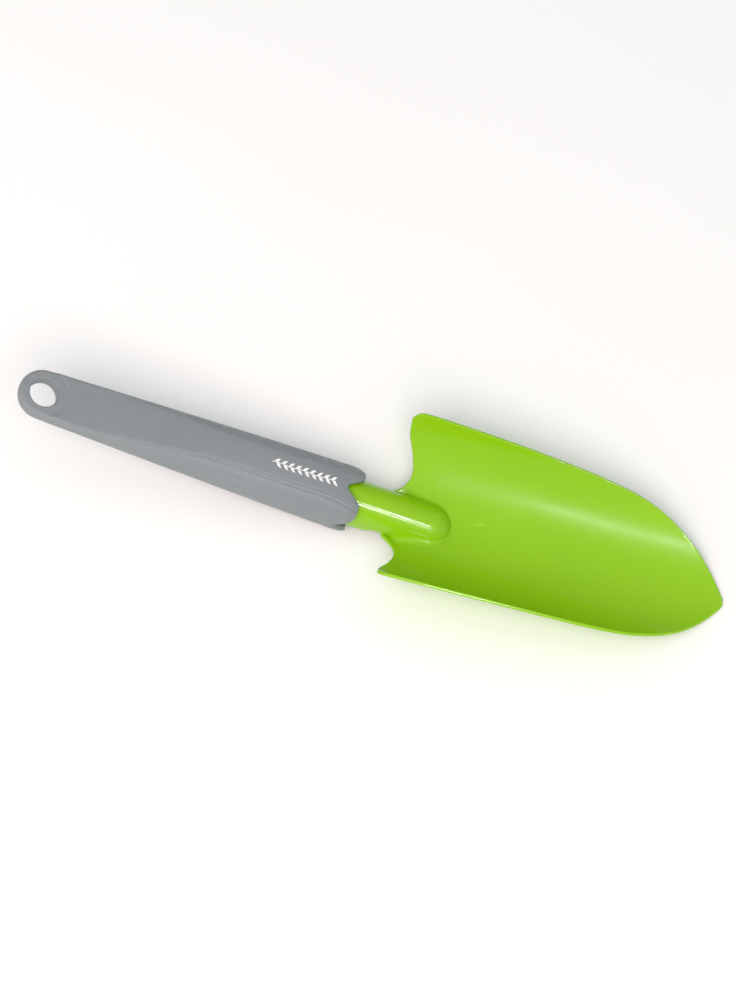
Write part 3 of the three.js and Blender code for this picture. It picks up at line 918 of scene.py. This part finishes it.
class Nodes:
    """A short way to build a material's node tree."""

    def __init__(self, name):
        self.material = bpy.data.materials.new(name)
        self.material.use_nodes = True
        self.tree = self.material.node_tree
        self.shader = self.tree.nodes["Principled BSDF"]
        coordinates = self.tree.nodes.new("ShaderNodeTexCoord")
        self.place = coordinates.outputs["Object"]

    def set(self, **values):
        """Sets shader inputs, with underscores for the spaces in their names."""
        for name, value in values.items():
            self.shader.inputs[name.replace("_", " ")].default_value = value

    def noise(self, scale, detail, roughness=0.5, stretch=None):
        node = self.tree.nodes.new("ShaderNodeTexNoise")
        node.inputs["Scale"].default_value = scale
        node.inputs["Detail"].default_value = detail
        node.inputs["Roughness"].default_value = roughness
        place = self.place
        if stretch:
            mapping = self.tree.nodes.new("ShaderNodeMapping")
            mapping.inputs["Scale"].default_value = stretch
            self.tree.links.new(self.place, mapping.inputs["Vector"])
            place = mapping.outputs["Vector"]
        self.tree.links.new(place, node.inputs["Vector"])
        return node.outputs["Fac"]

    def ramp(self, factor, low, high, start=0.3, end=0.7):
        """Values or colours from low to high as the factor goes from start to end."""
        node = self.tree.nodes.new("ShaderNodeMix")
        colour = not isinstance(low, (int, float))
        node.data_type = "RGBA" if colour else "FLOAT"
        remap = self.tree.nodes.new("ShaderNodeMapRange")
        remap.inputs["From Min"].default_value = start
        remap.inputs["From Max"].default_value = end
        self.tree.links.new(factor, remap.inputs["Value"])
        named = {s.name: s for s in node.inputs if s.enabled}
        self.tree.links.new(remap.outputs["Result"], named["Factor"])
        named["A"].default_value = (*low, 1) if colour else low
        named["B"].default_value = (*high, 1) if colour else high
        return next(s for s in node.outputs if s.enabled)

    def blend_colours(self, factor, under, over):
        """The colour output under, with the plain colour over laid on it by the factor."""
        node = self.tree.nodes.new("ShaderNodeMix")
        node.data_type = "RGBA"
        named = {s.name: s for s in node.inputs if s.enabled}
        self.tree.links.new(factor, named["Factor"])
        self.tree.links.new(under, named["A"])
        named["B"].default_value = (*over, 1)
        return next(s for s in node.outputs if s.enabled)

    def bump(self, heights, distance, strength, after=None):
        node = self.tree.nodes.new("ShaderNodeBump")
        node.inputs["Distance"].default_value = distance
        node.inputs["Strength"].default_value = strength
        self.tree.links.new(heights, node.inputs["Height"])
        if after:
            self.tree.links.new(after, node.inputs["Normal"])
        return node.outputs["Normal"]

    def edges(self, low, high):
        """1 along convex edges and 0 elsewhere."""
        geometry = self.tree.nodes.new("ShaderNodeNewGeometry")
        remap = self.tree.nodes.new("ShaderNodeMapRange")
        remap.inputs["From Min"].default_value = low
        remap.inputs["From Max"].default_value = high
        self.tree.links.new(geometry.outputs["Pointiness"], remap.inputs["Value"])
        return remap.outputs["Result"]

    def shade(self, output, name):
        self.tree.links.new(output, self.shader.inputs[name])


def green_paint():
    """Glossy powder coat: faint orange peel, slight drift of colour and gloss, and a paler yellow-green
    along the convex edges that is partly thinner paint and partly a painted highlight of the rim catching
    the light.
    """
    n = Nodes("green_powder_coat")
    n.set(Coat_Weight=0.32, Coat_Roughness=0.05, IOR=1.5, Specular_IOR_Level=0.25)
    drift = n.ramp(n.noise(scale=26, detail=3), low=(0.240, 0.504, 0.003), high=(0.256, 0.526, 0.004))
    # Paler yellow-green on convex edges: partly thinner paint, partly a painted highlight where the rim
    # catches the light.
    edge_highlight_and_thin_paint = n.blend_colours(n.edges(low=0.53, high=0.62), drift, over=(0.42, 0.70, 0.06))
    n.shade(edge_highlight_and_thin_paint, "Base Color")
    n.shade(n.ramp(n.noise(scale=60, detail=3), low=0.24, high=0.34), "Roughness")
    peel = n.bump(n.noise(scale=620, detail=2), distance=0.00002, strength=0.35)
    waves = n.bump(n.noise(scale=95, detail=1), distance=0.00008, strength=0.3, after=peel)
    n.shade(waves, "Normal")
    coat = n.bump(n.noise(scale=420, detail=1), distance=0.00001, strength=0.3)
    n.shade(coat, "Coat Normal")
    return n.material


def grey_plastic():
    """Matt moulded polypropylene: fine grain, flow marks along the grip, paler rubbed edges."""
    n = Nodes("grey_polypropylene")
    n.set(IOR=1.49, Specular_IOR_Level=0.45)
    flow = n.noise(scale=40, detail=4, roughness=0.6, stretch=(0.35, 1.4, 1.4))
    colour = n.ramp(flow, low=(0.205, 0.226, 0.240), high=(0.232, 0.253, 0.266))
    specks = n.ramp(n.noise(scale=700, detail=4, roughness=0.7), low=0.0, high=0.35, start=0.5, end=0.72)
    speckled = n.blend_colours(specks, colour, over=(0.28, 0.30, 0.31))
    rubbed = n.blend_colours(n.edges(low=0.52, high=0.60), speckled, over=(0.33, 0.35, 0.36))
    n.shade(rubbed, "Base Color")
    n.shade(n.ramp(n.noise(scale=180, detail=3), low=0.44, high=0.58), "Roughness")
    grain = n.bump(n.noise(scale=3800, detail=3, roughness=0.6), distance=0.00005, strength=0.7)
    pits = n.noise(scale=1100, detail=3, roughness=0.6)
    n.shade(n.bump(pits, distance=0.00007, strength=0.5, after=grain), "Normal")
    return n.material


def zinc_plate():
    """Bright zinc plate with fine turning marks."""
    n = Nodes("zinc_plate")
    n.set(Metallic=1.0)
    colour = n.ramp(n.noise(scale=900, detail=3), low=(0.50, 0.52, 0.55), high=(0.66, 0.67, 0.66))
    n.shade(colour, "Base Color")
    n.shade(n.ramp(n.noise(scale=1500, detail=2), low=0.22, high=0.42), "Roughness")
    n.shade(n.bump(n.noise(scale=5000, detail=2), distance=0.00003, strength=0.4), "Normal")
    return n.material


def white_ink():
    """Pad-printed white ink, a little thin in places."""
    n = Nodes("white_print")
    colour = n.ramp(n.noise(scale=1600, detail=2), low=(0.80, 0.81, 0.81), high=(0.90, 0.91, 0.91))
    n.shade(colour, "Base Color")
    n.shade(n.ramp(n.noise(scale=2500, detail=2), low=0.40, high=0.55), "Roughness")
    n.shade(n.bump(n.noise(scale=4200, detail=2), distance=0.00002, strength=0.4), "Normal")
    return n.material


def pale_floor():
    """An almost even, matt off-white."""
    n = Nodes("pale_floor")
    n.set(Roughness=0.9, Specular_IOR_Level=0.1)
    colour = n.ramp(n.noise(scale=3, detail=2), low=(0.90, 0.90, 0.90), high=(0.92, 0.92, 0.92))
    n.shade(colour, "Base Color")
    return n.material


# ---- stage ----

VIEW_AZIMUTH = 4.6
VIEW_ELEVATION = 65.5
VIEW_ROLL = 18.29
VIEW_DISTANCE = 2.003
VIEW_LENS = 167.2
SENSOR_WIDTH = 36
AIM_HEIGHT = 0.015
AIM_RIGHT = -0.0019
AIM_UP = 0.0010
LIGHT_DISTANCE = 1.6
WHITE = (1, 1, 1)
WARM = (1.16, 1.0, 0.94)
SKY_COLOUR = (0.94, 1.0, 1.01, 1)
SKY = 0.72
SKY_BEHIND = 0.3
SKY_FALL = (0.3, 0.95)  # share of the way to the horizon behind the tool over which the sky darkens
FLOOR_HALF = 3.0
FLOOR_LEVEL = -0.0002


def camera_axes():
    """The view's right, up and ahead directions."""
    a, e, r = (math.radians(v) for v in (VIEW_AZIMUTH, VIEW_ELEVATION, VIEW_ROLL))
    ahead = Vector((math.sin(a) * math.cos(e), math.cos(a) * math.cos(e), -math.sin(e)))
    right = ahead.cross(Vector((0, 0, 1))).normalized()
    up = right.cross(ahead)
    rolled_right = right * math.cos(r) + up * math.sin(r)
    return rolled_right, rolled_right.cross(ahead), ahead


def add_camera():
    data = bpy.data.cameras.new("camera")
    data.lens = VIEW_LENS
    data.sensor_width = SENSOR_WIDTH
    data.clip_start = 0.01
    camera = bpy.data.objects.new("camera", data)
    right, up, ahead = camera_axes()
    centre = Vector((0, 0, AIM_HEIGHT))
    place = centre - ahead * VIEW_DISTANCE + right * AIM_RIGHT + up * AIM_UP
    turn = Matrix((right, up, -ahead)).transposed().to_4x4()
    camera.matrix_world = Matrix.Translation(place) @ turn
    bpy.context.scene.collection.objects.link(camera)
    bpy.context.scene.camera = camera


def add_area(name, aim, azimuth, elevation, size, power, colour, seen_by):
    """A soft light on the sky dome, for diffuse or for glossy reflection only."""
    data = bpy.data.lights.new(name, "AREA")
    data.shape = "RECTANGLE"
    data.size, data.size_y = size
    data.energy = power
    data.color = colour
    light = bpy.data.objects.new(name, data)
    a, e = math.radians(azimuth), math.radians(elevation)
    away = Vector((math.sin(a) * math.cos(e), -math.cos(a) * math.cos(e), math.sin(e)))
    light.location = Vector(aim) + away * LIGHT_DISTANCE
    light.rotation_euler = (-away).to_track_quat("-Z", "Y").to_euler()
    light.visible_glossy = seen_by == "glossy"
    light.visible_diffuse = seen_by == "diffuse"
    bpy.context.scene.collection.objects.link(light)


def shade_world(tree):
    """An even, slightly cool sky that darkens towards the horizon behind the tool."""
    nodes, links = tree.nodes, tree.links
    sky = nodes["Background"]
    sky.inputs["Color"].default_value = SKY_COLOUR
    parts = nodes.new("ShaderNodeSeparateXYZ")
    links.new(nodes.new("ShaderNodeTexCoord").outputs["Generated"], parts.inputs["Vector"])
    fall = nodes.new("ShaderNodeMapRange")
    fall.inputs["From Min"].default_value, fall.inputs["From Max"].default_value = SKY_FALL
    fall.inputs["To Min"].default_value = SKY
    fall.inputs["To Max"].default_value = SKY_BEHIND
    links.new(parts.outputs["Y"], fall.inputs["Value"])
    links.new(fall.outputs["Result"], sky.inputs["Strength"])


def add_floor():
    mesh = bpy.data.meshes.new("floor")
    corners = [(FLOOR_HALF * x, FLOOR_HALF * y, 0) for x, y in ((-1, -1), (1, -1), (1, 1), (-1, 1))]
    mesh.from_pydata(corners, [], [(0, 1, 2, 3)])
    floor = bpy.data.objects.new("floor", mesh)
    floor.location.z = FLOOR_LEVEL
    floor.data.materials.append(pale_floor())
    bpy.context.scene.collection.objects.link(floor)


def add_stage():
    """Floor, sky, a broad key light, and small lights for the glints on the neck and near the point."""
    add_floor()
    world = bpy.data.worlds.new("world")
    world.use_nodes = True
    shade_world(world.node_tree)
    bpy.context.scene.world = world
    add_area("key", aim=(0, 0, 0), azimuth=-12, elevation=56, size=(1.3, 1.0), power=17, colour=WARM,
             seen_by="diffuse")
    add_area("neck_glint", aim=(0.015, 0, 0.01), azimuth=51, elevation=59, size=(0.07, 0.07), power=1.9,
             colour=WHITE, seen_by="glossy")
    add_area("tip_glint", aim=(0.139, 0.02, 0), azimuth=25.4, elevation=55, size=(0.2, 0.2), power=8,
             colour=WHITE, seen_by="glossy")
    bpy.context.scene.view_settings.view_transform = "Standard"


# ---- assembly ----


def dress(piece, material, node):
    """Gives a piece its material and body, and hides the CAD part that it stands for, if there is one."""
    piece.data.materials.clear()
    piece.data.materials.append(material)
    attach(piece, "root")
    if node:
        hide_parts(node)


dress(build_head(), green_paint(), "head")
dress(build_handle(), grey_plastic(), "handle")
dress(build_screw(), zinc_plate(), "retaining_screw")
dress(build_print(), white_ink(), None)
add_camera()
add_stage()
